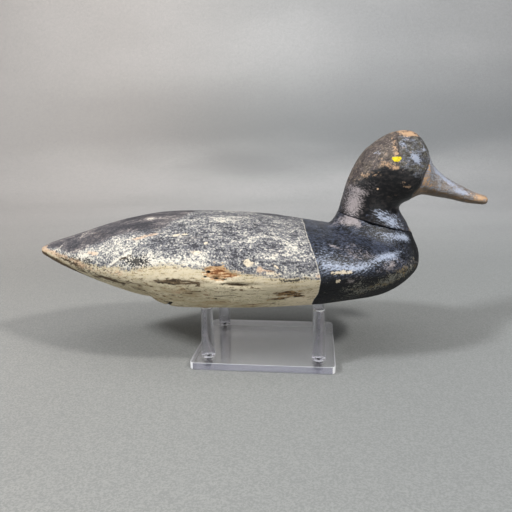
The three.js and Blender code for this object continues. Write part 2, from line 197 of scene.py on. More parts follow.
# Pale blue bloom, partly painted sheen; pinkish dust, partly painted sheen of the warm light; and olive
# mottle on the black breast:
BLOOM_PATCHES = [
    (42, 9, 13, 5, 0, 0.72), (88, 20, 8, 4, 0.5, 0.35), (86, 12, 7, 4, 0.4, 0.55), (56, 6, 12, 3, 0, 0.7),
    (76, 14, 14, 4, 0.45, 1.0), (90, 45, 9, 6, 0.3, 0.95), (98, 51, 5, 7, 0, 1.0), (38, 17, 9, 6, 0, 0.35),
    (75, 50, 10, 8, -0.6, 0.35),
]
# Pinkish dust on the breast and the neck shelf: partly dust, partly painted sheen of the warm light
DUST_PATCHES = [
    (62, 16, 12, 4, 0, 0.55), (84, 9, 7, 4, 0.3, 0.7), (56, 24, 10, 5, 0, 0.3), (86, 4, 15, 5, 0.1, 0.3),
    (100, 2, 8, 12, 0, 0.25), (57, 67, 8, 7, -1.1, 1.25), (64, 60, 5, 5, -1.1, 0.5),
    (45, 24, 3.5, 1.6, -0.2, 0.8), (56, -2, 8, 3, 0, 0.5), (40, 80, 8, 14, 0, 0.3),
]
MOTTLE_PATCHES = [
    (60, -7, 8, 6, 0, 0.7), (51, -11, 5, 3, 0, 0.6), (62, -16, 8, 5, 0, 0.5), (86, -6, 13, 8, 0.35, 0.85),
    (97, 2, 8, 14, 0, 0.45), (75, -14, 16, 7, 0.2, 0.55), (55, 0, 12, 3, 0, 0.3), (54, -26, 22, 9, 0, 0.5),
    (104, 20, 6, 20, 0, 0.2),
]
# Grime, with the crack along the side that holds some of it:
CRACK = (-18, -2.3, 10, 1.3, -0.04, 1.3)
GRIME_PATCHES = [
    (-62, 0.2, 17, 1.9, 0.05, 0.9), (-54, -1.8, 12, 1.4, 0, 0.8), (-42, -0.6, 8, 1, 0, 0.6), CRACK,
    (-4, -1.1, 6, 0.6, 0, 0.8), (-108, -7, 6, 2, -0.1, 0.9), (-117, -10, 4, 2, 0, 0.8),
    (-97, -8, 6, 1.2, 0.1, 0.8), (-128, -8, 4, 3, 0, 0.6), (-85, -12, 3, 1.5, 0, 0.8),
    (-26, -11.4, 8, 0.5, 0.06, 1.0), (-12, -9.5, 5, 0.4, -0.35, 0.8), (-45, -8, 12, 2, 0.1, 0.35),
    (5, -22, 2, 1.3, 0, 0.8), (27, -22, 1.6, 1, 0, 0.5), (-10, -23, 3, 1, 0, 0.8),
    (24, -14, 14, 16, 0, -0.8), (-140, 2, 8, 1.2, -0.3, 0.7), (-133, 7, 6, 1, -0.2, 0.6),
    (-72, -5, 14, 1, 0, 0.4), (-60, -12, 2, 1, 0, 0.7), (-50, -5, 1.5, 1, 0, 0.7),
    (-132, 0, 24, 6, -0.25, 0.52), (-98, -9, 20, 5, 0.05, 0.3), (-95, -5, 14, 1.5, 0.05, 0.5),
    (-75, -14, 8, 1.2, 0.1, 0.5),
]

# Marks with an edge: x, turn, half length, half height in degrees, slope in degrees per mm
SPLINTER = [(-31, 5.2, 8, 4.4, -0.1), (-23, 3.6, 5.5, 2.2, -0.2)]
CREAM_CHIPS = [
    (-10.5, 11.2, 3.3, 1.9, -0.25), (7, 9, 3.6, 0.9, -0.7), (49, 4.3, 6.4, 1.2, 0.02),
    (46.3, -1.6, 1.3, 1.1, 0), (-57.8, 33.3, 1.9, 1.4, 0.2), (-52.4, 33.8, 2.1, 1.2, 0.1),
    (-38, 25.5, 1.4, 1.1, 0), (-44, 18.5, 4, 1.4, 0), (5, 4.7, 7, 0.8, -0.12),
]
HOLLOW = [(15, -10.6, 10, 3.2, 0), (9, -16.5, 8, 2.4, 0.1), (20, -14, 6, 2.2, -0.2)]
PITS = [
    (-32.5, -15.5, 0.9, 1.2, 0), (-36, 6.1, 1.6, 0.9, 0), (-31, 1.6, 2.2, 0.7, -0.1),
    (-26, 1.2, 1.8, 0.6, 0), (-38, 3, 1.1, 0.7, 0), (-66, -24, 4, 1.6, 0.1),
]
# Lines: x and turn. The scratch has a painted shadow beside it, moved by this much.
SCRATCH = [(-105, 5.5), (-102, 8.5), (-99, 11.5), (-96, 14), (-92, 16.5), (-88, 18)]
SCRATCH_SHADOW = (1.1, -0.9)
HEEL_SLIT = [(-64, -24), (-68, -34), (-70, -46)]

# The neck joint: x and height of its ends, half width, how far its swell and its dark line reach
# from its plane, and how far they spread in it, as a share of its half size
SEAM_BACK = (52.2, 104.6)
SEAM_FRONT = (105.8, 89.4)
SEAM_HALF_WIDTH = 20
SEAM_REACH = 1.6
SEAM_LINE = 0.6
SEAM_SPREAD = 1.25

# Places on the head are x and height. Soft patches: x, z, half length, half height, slope, strength
HEAD_BLACK = [
    (84, 112, 12, 8, 0, 0.7), (67, 104, 20, 8, -0.3, 0.25), (86, 127, 13, 6, -0.1, 1.4),
    (92, 120, 15, 6, 0.05, 1.4), (76, 118, 11, 8, 0.1, 0.9), (72, 127, 6, 3, 0.1, 0.8),
    (80, 111, 15, 5, 0.1, 1.0), (96, 114, 9, 4, 0.2, 1.3), (86, 131.5, 8, 2.5, 0, 0.9),
]
HEAD_SLATE = [
    (95, 152.5, 5, 4.5, 0, 1.0), (104, 148, 8, 7, -0.3, 1.0), (98, 141, 8, 7, 0, 0.9),
    (111, 148, 6, 9, -0.5, 1.0), (104, 132, 6, 8, 0, 0.8), (96, 135, 7, 4, 0, 0.8),
]
HEAD_PALE = [
    (101, 141.4, 3.2, 3.2, -0.3, 1.3), (94, 152, 3.4, 2.4, 0, 0.7), (107, 147.5, 3, 2.4, 0, 0.8),
    (99.5, 144, 2.5, 1.2, 0, 0.8), (77, 146, 4, 2, 0.4, 0.5), (121, 131, 7, 2.4, -0.8, 0.9),
    (130, 124, 7, 2, -0.62, 0.8), (134, 118.6, 8, 1.8, -0.2, 1.0), (113, 122, 5, 1.2, 0, 0.5),
]
CROWN_CHIP = (98, 158.6, 7.5, 2.4, -0.15, 1.3)
HEAD_TAN = [
    CROWN_CHIP, (87.8, 150, 1.8, 6.5, 0, 0.8), (89, 145.4, 1.2, 1.2, 0, 1.0),
    (86, 136.5, 6, 1.6, -0.3, 1.1), (72, 131.5, 8, 2.4, 0.1, 0.5), (95, 124, 3.4, 2.2, -0.4, 0.8),
    (87, 117.5, 4, 1.6, 0.3, 0.4), (78, 140, 9, 6, 0.2, 0.22),
]
# Bloom on the neck's front: partly worn paint, partly painted highlight
HEAD_BLOOM = [(85, 101.5, 8, 4, -0.3, 0.75), (90, 96.5, 6, 3, -0.3, 0.6), (80, 106, 4, 2, -0.2, 0.5)]
# Pinkish dust on the back of the neck: partly dust, partly painted sheen of the warm light
HEAD_DUST = [
    (62, 113, 5, 7, 0.2, 1.0), (64, 121, 6, 2, -0.4, 0.5), (60, 106, 4, 4, 0, 0.4),
    (73, 124, 6, 5, 0, 0.12),
]
BILL_WOOD = [
    (111.5, 134, 1.6, 6, 0, 0.8), (109, 127.5, 1.6, 4, 0, 0.9), (112, 124, 4, 5, 0, 0.35),
    (150, 114, 6, 2.8, -0.2, 1.1), (136, 113.4, 14, 1.2, -0.25, 0.7), (118, 121.5, 8, 4, -0.3, 0.35),
    (108, 119.5, 5, 1.6, -0.4, 0.8),
]
# The groove round the bill's base and its top end, and heights of the bill's top and middle
BILL_BASE = [
    (112.5, 140.5), (110.4, 136), (108.2, 131.5), (107.0, 127.5), (106.2, 124), (104.6, 120.5),
    (102, 117.5),
]
GROOVE_TOP = 141
BILL_TOP = 146
BILL_MIDDLE = 122
# The rough back of the head lies behind this x and above this height
NAPE = (90.5, 128)
# The neck is painted like the breast up to this height
NECK_PAINT_TOP = 124
# A thin line up the head from the eye, with tan wood before it and slate paint past it
LINE_X = 89.8
LINE_TOP = 156
LINE_FOOT = 141
HEAD_LINE = [(LINE_X, LINE_TOP), (89.9, 145)]
EYE_PLACE = (88.2, 142.6)
EYE_HALF_WIDTH = 3.3
EYE_DROP = 2.6
EYE_TOP = 1.0
EYE_HORNS = -0.6
NECK_DOT = (76.7, 122.0, 0.75)

# Paints and wood
DEEP_GREY = linear(59, 59, 63)
BLUE_GREY = linear(109, 109, 114)
CHALK_GREY = linear(162, 160, 153)
SPECK_WHITE = linear(217, 210, 196)
RUMP_DEEP = linear(60, 59, 63)
RUMP_GREY = linear(84, 81, 84)
RUMP_PALE = linear(131, 123, 121)
SOOT = linear(34, 34, 36)
TINT_PEACH = linear(204, 172, 142)
BAND_CREAM = linear(202, 190, 164)
BAND_TAN = linear(196, 180, 146)
BELLY_TAN = linear(214, 203, 174)
BELLY_OLIVE = linear(175, 164, 135)
GRIME_BROWN = linear(92, 72, 50)
GRIME_BLACK = linear(40, 33, 26)
BARE_TAN = linear(200, 170, 132)
BARE_ORANGE = linear(166, 124, 86)
BARE_BROWN = linear(104, 64, 34)
CHIP_CREAM = linear(226, 210, 182)
HOLLOW_TAN = linear(166, 138, 100)
HOLLOW_BROWN = linear(112, 86, 58)
HOLLOW_DARK = linear(50, 38, 28)
PIT_DARK = linear(24, 20, 17)
BREAST_BLACK = linear(16, 17, 20)
BREAST_BLUE = linear(68, 74, 90)
BLOOM_BLUE = linear(172, 182, 202)
DUST_PINK = linear(168, 158, 158)
MOTTLE_GREY = linear(134, 133, 122)
GOLD_OLIVE = linear(128, 108, 66)
HEAD_BROWN = linear(86, 77, 74)
HEAD_OLIVE = linear(97, 87, 77)
HEAD_LIGHT = linear(150, 139, 134)
HEAD_DARK = linear(42, 39, 39)
SLATE_GREY = linear(88, 91, 100)
SLATE_OLIVE = linear(92, 88, 76)
SLATE_PALE = linear(150, 158, 176)
TAN_WOOD = linear(186, 152, 120)
BILL_SLATE = linear(136, 139, 147)
BILL_BROWN = linear(120, 106, 92)
BILL_ORANGE = linear(181, 146, 112)
EYE_YELLOW = linear(224, 202, 30)
EYE_SHADE = linear(176, 152, 34)
STEEL_DARK = linear(20, 20, 24)
STEEL_WORN = linear(56, 56, 62)

# The sheet's cloth, with colours for its painted shade and painted warm light
FLOOR_TONE = linear(144, 145, 142)
WALL_TONE = linear(196, 195, 194)
CLOTH_SHADE = linear(122, 124, 124)
CLOTH_DARK = linear(100, 102, 102)
CLOTH_WARM = linear(182, 168, 158)
CLOTH_COOL = linear(146, 154, 164)

# Coats over a ground: colour, level of the pattern above which it shows, softness of its edge, cover
FLANK_COATS = [(BLUE_GREY, 0.42, 0.05, 1), (CHALK_GREY, 0.53, 0.05, 1), (SPECK_WHITE, 0.61, 0.04, 1)]
RUMP_COATS = [(RUMP_GREY, 0.45, 0.09, 1), (RUMP_PALE, 0.58, 0.08, 0.85), (SPECK_WHITE, 0.7, 0.06, 0.9)]
HOLLOW_COATS = [(HOLLOW_BROWN, 0.49, 0.06, 1), (HOLLOW_TAN, 0.58, 0.06, 1)]
WOOD_COATS = [(BARE_ORANGE, 0.48, 0.05, 1), (BARE_TAN, 0.57, 0.07, 1)]

# Level and softness of the edge that keeps the bloom and dust, with their painted sheen, to their patches
PATCH_EDGE = (0.12, 0.12)

# Refraction of oil paint and of acrylic, and how far paint stands out in its grain, in millimetres
PAINT_IOR = 1.38
ACRYLIC_IOR = 1.49
BODY_RELIEF = 0.38
HEAD_RELIEF = 0.36
# The clear parts: clearness, solidity, gloss and tint
ACRYLIC_TINT = (0.92, 0.91, 1.0, 1)
CLEAR_PLATE = (1.0, 0.42, 1.0, ACRYLIC_TINT)
# A darker violet copy for the front edge: painted shade
CLEAR_EDGE = (0.8, 0.8, 0.5, (0.55, 0.56, 0.73, 1))
CLEAR_PEG = (1.0, 0.75, 0.0, ACRYLIC_TINT)
# A whiter, more solid copy for rounded edges: painted highlight
CLEAR_RIM = (0.15, 0.95, 0.5, (0.97, 0.97, 1.0, 1))


class Link:
    """A node's output. Sums with it add Math nodes, so that a pattern reads as a formula."""

    def __init__(self, finish, socket):
        self.finish = finish
        self.socket = socket

    def calculate(self, operation, first, second, clamp=False):
        settings = {"operation": operation, "use_clamp": clamp}
        return self.finish.node("ShaderNodeMath", settings, {0: first, 1: second})

    def __add__(self, other):
        return self.calculate("ADD", self, other)

    __radd__ = __add__

    def __sub__(self, other):
        return self.calculate("SUBTRACT", self, other)

    def __rsub__(self, other):
        return self.calculate("SUBTRACT", other, self)

    def __mul__(self, other):
        return self.calculate("MULTIPLY", self, other)

    __rmul__ = __mul__

    def swing(self, amount):
        """A pattern of 0 to 1 as a swing about 0, as wide as the amount."""
        return (self - 0.5) * amount

    def clamped(self):
        return self.calculate("ADD", self, 0, clamp=True)

    def above(self, level, softness):
        """0 below the level and 1 above it, with a soft step between."""
        settings = {"interpolation_type": "SMOOTHSTEP"}
        inputs = {"Value": self, "From Min": level - softness, "From Max": level + softness}
        return self.finish.node("ShaderNodeMapRange", settings, inputs)


class Finish:
    """A material in the making."""

    MIX_SOCKETS = (0, 6, 7)
    MIX_RESULT = 2
    SEED_SHIFT = 0.1

    def __init__(self, name):
        self.material = bpy.data.materials.new(name)
        self.material.use_nodes = True
        self.tree = self.material.node_tree
        self.tree.nodes.clear()

    def node(self, kind, settings=None, inputs=None, output=0):
        made = self.tree.nodes.new(kind)
        for name, value in (settings or {}).items():
            setattr(made, name, value)
        for name, value in (inputs or {}).items():
            if isinstance(value, Link):
                self.tree.links.new(value.socket, made.inputs[name])
            else:
                made.inputs[name].default_value = value
        return Link(self, made.outputs[output]) if made.outputs else None

    def field(self, name):
        """A number that the mesh carries at each of its points."""
        return self.node("ShaderNodeAttribute", {"attribute_name": name}, output="Fac")

    def grain(self, size, stretch=1.0, detail=2, harshness=0.5, seed=0):
        """Noise from 0 to 1 with blobs of about size millimetres, drawn out along the decoy."""
        step = 1 / (size * MM)
        inputs = {
            "Vector": self.node("ShaderNodeTexCoord", output="Object"),
            "Scale": (step / stretch, step, step),
            "Location": (seed, seed, seed),
        }
        moved = self.node("ShaderNodeMapping", None, inputs)
        inputs = {"Vector": moved, "Scale": 1, "Detail": detail, "Roughness": harshness}
        return self.node("ShaderNodeTexNoise", None, inputs)

    def strokes(self, size, stretch, slope, seed=0):
        """Noise from 0 to 1 like short brush strokes that climb towards the bill by slope degrees."""
        inputs = {
            "Vector": self.node("ShaderNodeTexCoord", output="Object"),
            "Scale": (size * stretch * MM, size * MM, size * MM),
            "Rotation": (0, -math.radians(slope), 0),
            "Location": (seed * self.SEED_SHIFT, 0, 0),
        }
        turned = self.node("ShaderNodeMapping", {"vector_type": "TEXTURE"}, inputs)
        inputs = {"Vector": turned, "Scale": 1, "Detail": 3, "Roughness": 0.7}
        return self.node("ShaderNodeTexNoise", None, inputs)

    def mix(self, below, above, mask):
        """One colour laid over another where the mask is 1."""
        inputs = dict(zip(self.MIX_SOCKETS, (mask, below, above)))
        return self.node("ShaderNodeMix", {"data_type": "RGBA"}, inputs, self.MIX_RESULT)

    def washes(self, ground, *layers):
        """Layers of a colour and its mask, laid over a ground one after another."""
        for colour, mask in layers:
            ground = self.mix(ground, colour, mask)
        return ground

    def coats(self, ground, pattern, coats):
        """Coats over a ground, each where the pattern is above the coat's level."""
        layers = [(colour, pattern.above(level, edge) * cover) for colour, level, edge, cover in coats]
        return self.washes(ground, *layers)

    def bump(self, height, depth):
        """A surface raised by height times depth in millimetres."""
        inputs = {"Height": height, "Distance": depth * MM, "Strength": 1.0}
        return self.node("ShaderNodeBump", None, inputs)

    def done(self, **inputs):
        """The finished material. A socket is named as base_color or ior."""
        named = {}
        for name, value in inputs.items():
            named[name.replace("_", " ").title().replace("Ior", "IOR")] = value
        shader = self.node("ShaderNodeBsdfPrincipled", None, named)
        self.node("ShaderNodeOutputMaterial", None, {"Surface": shader})
        return self.material


def pick(piece):
    """Makes a piece the only selected object and the active one."""
    bpy.ops.object.select_all(action="DESELECT")
    piece.select_set(True)
    bpy.context.view_layer.objects.active = piece


def copied_solid(node, name):
    """A copy of a CAD solid as a piece of its own, picked, with its facets' normals cleared."""
    piece = bpy.data.objects.new(name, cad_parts[node].data.copy())
    bpy.context.collection.objects.link(piece)
    piece.data.materials.clear()
    pick(piece)
    if piece.data.has_custom_normals:
        bpy.ops.mesh.customdata_custom_splitnormals_clear()
    return piece


def finished_by(piece, kind, **settings):
    """Adds a modifier to a piece and applies it."""
    modifier = piece.modifiers.new(kind.lower(), kind)
    for name, value in settings.items():
        setattr(modifier, name, value)
    pick(piece)
    bpy.ops.object.modifier_apply(modifier=modifier.name)


def carving_blank(node, name, voxel):
    """A copy of a CAD solid with its facets rounded off, meshed finely enough to carve."""
    blank = copied_solid(node, name)
    bpy.ops.object.mode_set(mode="EDIT")
    bpy.ops.mesh.select_all(action="SELECT")
    bpy.ops.mesh.remove_doubles(threshold=MERGE_REACH * MM)
    facet = math.radians(FACET_ANGLE)
    bpy.ops.mesh.tris_convert_to_quads(face_threshold=facet, shape_threshold=facet)
    bpy.ops.mesh.select_all(action="DESELECT")
    bpy.ops.mesh.edges_select_sharp(sharpness=math.radians(SHARP_ANGLE))
    bpy.ops.transform.edge_crease(value=SHARP_CREASE)
    bpy.ops.object.mode_set(mode="OBJECT")
    finished_by(blank, "SUBSURF", levels=2, render_levels=2)
    finished_by(blank, "REMESH", mode="VOXEL", voxel_size=voxel * MM)
    finished_by(blank, "SMOOTH", factor=0.5, iterations=2)
    return blank


def points_of(piece):
    """A piece's points in millimetres."""
    values = np.empty(len(piece.data.vertices) * 3, dtype=np.float32)
    piece.data.vertices.foreach_get("co", values)
    return values.reshape(-1, 3).astype(float) / MM


def normals_of(piece):
    values = np.empty(len(piece.data.vertices) * 3, dtype=np.float32)
    piece.data.vertex_normals.foreach_get("vector", values)
    return values.reshape(-1, 3).astype(float)


def carve(piece, depths, node):
    """Moves each point along its normal, outwards where positive, and keeps it in the CAD box."""
    lowest, highest = (np.array(corner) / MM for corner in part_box(node))
    moved = points_of(piece) + normals_of(piece) * depths[:, None]
    moved = np.clip(moved, lowest, highest) * MM
    piece.data.vertices.foreach_set("co", moved.astype(np.float32).ravel())
    piece.data.update()


def keep_fields(piece, **fields):
    """Stores numbers at each point of a mesh, by name, for its material to read."""
    for name, values in fields.items():
        field = piece.data.attributes.new(name, "FLOAT", "POINT")
        field.data.foreach_set("value", np.asarray(values, dtype=np.float32))


def rough(points, size, stretch=1.0, octaves=3, seed=0):
    """Noise of about -1 to 1 at each point, as Finish.grain makes it in a material."""
    scaled = points / (size * np.array((stretch, 1, 1))) + seed * SEED_STEP
    return np.array([noise.fractal(Vector(place), 1.0, 2.0, octaves) for place in scaled])


def along_line(values, line):
    """The second numbers of a line's points, read off at values of the first."""
    first, second = zip(*line)
    return np.interp(values, first, second)


def inside(u, v, marks):
    """How far each point is inside the nearest oval mark: 1 in its middle, 0 on its edge, then negative."""
    depth = np.full(len(u), OUTSIDE)
    for middle_u, middle_v, half_u, half_v, slope in marks:
        across = v - middle_v - slope * (u - middle_u)
        depth = np.maximum(depth, 1 - np.hypot((u - middle_u) / half_u, across / half_v))
    return depth


def soft(u, v, patches):
    """The sum of soft oval patches at each point."""
    total = np.zeros(len(u))
    for middle_u, middle_v, half_u, half_v, slope, strength in patches:
        across = v - middle_v - slope * (u - middle_u)
        total += strength * np.exp(-((u - middle_u) / half_u) ** 2 - (across / half_v) ** 2)
    return total


def near_line(u, v, line):
    """Distance from each point to a line of straight pieces."""
    distance = np.full(len(u), FAR_AWAY)
    for (u0, v0), (u1, v1) in zip(line, line[1:]):
        length = (u1 - u0) ** 2 + (v1 - v0) ** 2
        share = np.clip(((u - u0) * (u1 - u0) + (v - v0) * (v1 - v0)) / length, 0, 1)
        distance = np.minimum(distance, np.hypot(u - u0 - share * (u1 - u0), v - v0 - share * (v1 - v0)))
    return distance


def ridge(distance, half_width):
    """1 on a line, falling to 0 past its half width."""
    return np.exp(-(distance / half_width) ** 2)


def step(values, softness):
    """0 for negative values and 1 for positive ones, with a soft step between."""
    share = np.clip(values / softness * 0.5 + 0.5, 0, 1)
    return share * share * (3 - 2 * share)


def near_seam(points, reach=SEAM_REACH):
    """1 beside the neck joint's plane, falling to 0 past the reach, and 0 on the body far outside it."""
    x, y, z = points.T
    share = (x - SEAM_BACK[0]) / (SEAM_FRONT[0] - SEAM_BACK[0])
    plane = SEAM_BACK[1] + share * (SEAM_FRONT[1] - SEAM_BACK[1])
    around = np.hypot(2 * share - 1, y / SEAM_HALF_WIDTH)
    return ridge(z - plane, reach) * step(SEAM_SPREAD - around, 0.12)


def both_sides(u, v, near, marks, measure):
    """Reads marks on the near side as listed, and on the far side in the opposite order along it."""
    mirrored = np.where(near, u, np.where(u < FAR_END, 2 * FAR_MIDDLE - u, u))
    return measure(mirrored, v, marks)


def build_body():
    body = carving_blank("decoy_body", "carved_body", BODY_VOXEL)
    points = points_of(body)
    x, y, z = points.T
    turn = np.degrees(np.arctan2(z - along_line(x, WIDEST_LINE), np.abs(y)))
    near = y < 0

    def patches(marks):
        return both_sides(x, turn, near, marks, soft)

    def marks_of(marks):
        return both_sides(x, turn, near, marks, inside)

    wander = rough(points, 14, stretch=2.0, seed=1)
    fine = rough(points, 2.4, stretch=1.5, seed=2)
    fibres = rough(points, 1.3, stretch=9.0, seed=3)
    waves = rough(points, 34, stretch=1.6, octaves=2, seed=4)
    tool_marks = rough(points, 9, stretch=2.5, octaves=2, seed=5)

    breast = x - along_line(turn, BREAST_EDGE) + 0.35 * wander
    rump = step(turn - along_line(x, RUMP_EDGE) + 5 * wander, 11)
    belly = along_line(x, BELLY_EDGE) - turn + 1.2 * wander
    splinter = np.where(near, inside(x, turn, SPLINTER) + 0.5 * fibres + 0.35 * fine, OUTSIDE)
    cream = marks_of(CREAM_CHIPS) + 0.3 * fine
    hollow = marks_of(HOLLOW) + 0.45 * fine + 0.2 * fibres
    pits = np.where(near, inside(x, turn, PITS), OUTSIDE) + 0.3 * fine
    crack = np.clip(patches([CRACK]), 0, 1) * near
    # Painted shade on the tail's underside, below its line
    tail_shade = step(along_line(x, TAIL_SHADE_EDGE) - turn + 3 * wander, 5)
    scratch = near_line(x, turn, SCRATCH)
    # Painted shadow beside the scratch
    shadow = near_line(x - SCRATCH_SHADOW[0], turn - SCRATCH_SHADOW[1], SCRATCH)
    slit = np.where(near, near_line(x, turn, HEEL_SLIT), FAR_AWAY)

    on_breast = step(breast, 0.5)
    depths = WAVE_DEPTH * waves + TOOL_MARK_DEPTH * tool_marks
    depths += FIBRE_DEPTH * (1 + step(belly, 3)) * fibres
    depths += FINE_DEPTH * fine * (1 - 0.6 * on_breast)
    depths -= BREAST_DEPTH * on_breast
    depths -= step(splinter, 0.2) * (SPLINTER_DEPTH + SPLINTER_FIBRES * fibres + 0.4 * fine)
    depths -= CHIP_DEPTH * step(cream, 0.2)
    depths -= step(hollow, 0.2) * (HOLLOW_DEPTH + HOLLOW_FIBRES * fibres)
    depths -= CRACK_DEPTH * crack
    depths -= PIT_DEPTH * step(pits, 0.3)
    depths += SCRATCH_RIDGE * ridge(scratch, 0.9) * near
    depths -= SLIT_DEPTH * ridge(slit, 1.2)
    carve(body, depths - BODY_MARGIN + SEAM_SWELL * near_seam(points), "decoy_body")

    keep_fields(
        body,
        breast=breast,
        rump=rump,
        belly=belly,
        pale=0.34 - 0.28 * rump + patches(PALE_PATCHES) + 0.7 * ridge(scratch, 0.8) * near,
        soot=patches(SOOT_PATCHES),
        tint=patches(TINT_PATCHES),
        bloom=patches(BLOOM_PATCHES),
        dust=patches(DUST_PATCHES),
        mottle=patches(MOTTLE_PATCHES),
        # Grime, with the painted shade under the tail and the scratch's painted shadow
        grime=patches(GRIME_PATCHES) + 1.2 * tail_shade + 0.7 * ridge(shadow, 0.6) * near,
        joint=on_breast * near_seam(points, SEAM_LINE),
        front=step(x - FRONT_START, 6),
        by_breast=step(x - BY_BREAST_START, 12),
        bare=splinter,
        cream=cream,
        hollow=hollow,
        pit=np.maximum(pits, 1 - slit / 1.3),
    )
    return body


def build_head():
    head = carving_blank("decoy_head", "carved_head", HEAD_VOXEL)
    points = points_of(head)
    x, y, z = points.T
    wander = rough(points, 9, seed=11)
    fine = rough(points, 1.8, stretch=1.3, seed=12)
    scales = rough(points, 3.2, stretch=2.2, seed=13)
    waves = rough(points, 16, octaves=2, seed=14)

    base_x = along_line(z, [(height, place) for place, height in reversed(BILL_BASE)])
    past_base = x - base_x + 0.3 * wander
    bill = step(past_base, 0.4) * (z < BILL_TOP)
    to_base = np.where(z < GROOVE_TOP, near_line(x + 0.3 * wander, z, BILL_BASE), FAR_AWAY)
    nape = step(NAPE[0] - x, 6) * step(z - NAPE[1], 8)
    crown_chip = step(soft(x, z, [CROWN_CHIP]) - 0.8 + 0.3 * fine, 0.15)

    depths = HEAD_WAVE_DEPTH * waves
    depths += SCALE_DEPTH * scales * (0.4 + 1.7 * nape) + HEAD_FINE_DEPTH * fine
    depths -= GROOVE_DEPTH * ridge(to_base, 0.6)
    depths -= BILL_STEP_DEPTH * bill * np.exp(-np.clip(past_base, 0, None) / 3.5)
    depths -= CROWN_CHIP_DEPTH * crown_chip
    carve(head, depths - HEAD_MARGIN + HEAD_SEAM_SWELL * near_seam(points), "decoy_head")

    eye_x = (x - EYE_PLACE[0]) / EYE_HALF_WIDTH
    below_eye = np.clip(EYE_PLACE[1] - z, 0, None) / EYE_DROP
    eye_lid = EYE_PLACE[1] + EYE_TOP + EYE_HORNS * eye_x ** 2 - z
    dot = 1 - np.hypot(x - NECK_DOT[0], z - NECK_DOT[1]) / NECK_DOT[2]
    before_line = np.where(z > LINE_FOOT, step(LINE_X - x, 0.4), 1)
    keep_fields(
        head,
        black=soft(x, z, HEAD_BLACK) + 0.35 * wander + 0.25 * fine,
        slate=soft(x, z, HEAD_SLATE) * step(x - LINE_X, 0.4),
        pale=soft(x, z, HEAD_PALE),
        tan=np.where(z > LINE_TOP, 1, before_line) * soft(x, z, HEAD_TAN),
        bloom=soft(x, z, HEAD_BLOOM),
        dust=soft(x, z, HEAD_DUST),
        bill=bill,
        base=np.maximum(1 - to_base / 1.1, 0.7 - near_line(x, z, HEAD_LINE)),
        wood=soft(x, z, BILL_WOOD),
        eye=np.minimum(1 - eye_x ** 2 - below_eye ** 2, eye_lid),
        dot=np.where(y < 0, dot, OUTSIDE),
        joint=near_seam(points, SEAM_LINE),
        # Painted shade under the bill, where its surface faces down
        underside=bill * step(-normals_of(head)[:, 2] - 0.45, 0.25),
        height=z,
    )
    return head


def body_grain(f):
    """The noise that the body's paints share, from single specks to broad clouds."""
    speck = f.grain(1.15, 1.1, 3, 0.75)
    fleck = f.grain(2.7, 1.5, 3, 0.7, 9)
    return SimpleNamespace(
        speck=speck,
        fleck=fleck,
        clump=f.grain(9, 1.6, 4, 0.65, 3),
        streak=f.grain(1.4, 9, 3, 0.65, 5),
        broad=f.grain(30, 1.6, 3, 0.6, 7),
        cloud=f.grain(15, 2.2, 3, 0.65, 11),
        ragged=fleck.swing(1.6) + speck.swing(1.2),
    )


def flank_and_rump(f, g):
    """The speckled grey flank, with the dark rump above and behind it."""
    density = f.field("pale") + g.clump.swing(0.95) + g.broad.swing(0.6)
    scrub = f.strokes(1.5, 3.2, -38, 6)
    tone = g.speck * 0.85 + 0.07 + g.streak.swing(0.25) + g.fleck.swing(0.35) + scrub.swing(0.45)
    flank = f.coats(DEEP_GREY, tone + (density - 0.4) * 0.36, FLANK_COATS)
    back = g.streak * 0.4 + g.speck * 0.6 + g.clump.swing(0.6) + g.fleck.swing(0.5)
    rump = f.coats(RUMP_DEEP, back + (density - 0.06) * 0.3, RUMP_COATS)
    return f.mix(flank, rump, (f.field("rump") + g.ragged * 0.8 + g.streak.swing(1.5)).above(0.5, 0.3))


def cream_belly(f, g):
    """The cream band on the side and the olive and tan belly under it, darker partly by stains and partly
    as painted shade of the underside, and painted lighter near the breast as painted light.
    """
    belly = f.field("belly")
    by_breast = f.field("by_breast")
    side = f.washes(
        BAND_CREAM,
        (BAND_TAN, (g.streak + g.ragged * 0.3).above(0.53, 0.1) * 0.8),
        (BELLY_OLIVE, (g.speck * 0.5 + g.fleck * 0.5).above(0.555, 0.04) * 0.75),
    )
    under = f.washes(
        BELLY_OLIVE,
        (BELLY_TAN, (g.streak * 0.5 + g.clump * 0.5 + g.ragged * 0.35).above(0.46, 0.07)),
        (BAND_CREAM, (g.speck * 0.5 + g.streak * 0.5).above(0.55, 0.06) * 0.5),
        (BELLY_OLIVE, (g.cloud + g.ragged * 0.12).above(0.55, 0.07) * 0.6),
        (HOLLOW_TAN, (g.cloud * 0.5 + g.streak * 0.5 + g.ragged * 0.08).above(0.56, 0.05) * 0.6),
        (GRIME_BROWN, (g.fleck * 0.5 + g.streak * 0.5).above(0.58, 0.04) * 0.8),
    )
    # Near the breast the belly keeps the lighter side paint: painted light
    depth = belly + g.streak.swing(16) + g.clump.swing(10) - by_breast * 20
    dashes = (g.streak * 0.6 + g.speck * 0.4).above(0.585, 0.03)
    blots = (f.grain(4, 2.5, 3, 0.7, 13) + g.ragged * 0.1).above(0.66, 0.03)
    return f.washes(
        side,
        # The olive under-belly: partly stains, partly painted shade of the underside
        (under, depth.above(9.5, 3.5)),
        # Lighter cream low on the belly near the breast: painted light
        (CHIP_CREAM, by_breast * belly.above(12, 8) * (0.35 + g.speck * 0.6)),
        (GRIME_BROWN, (dashes + blots).clamped() * 0.6),
    )


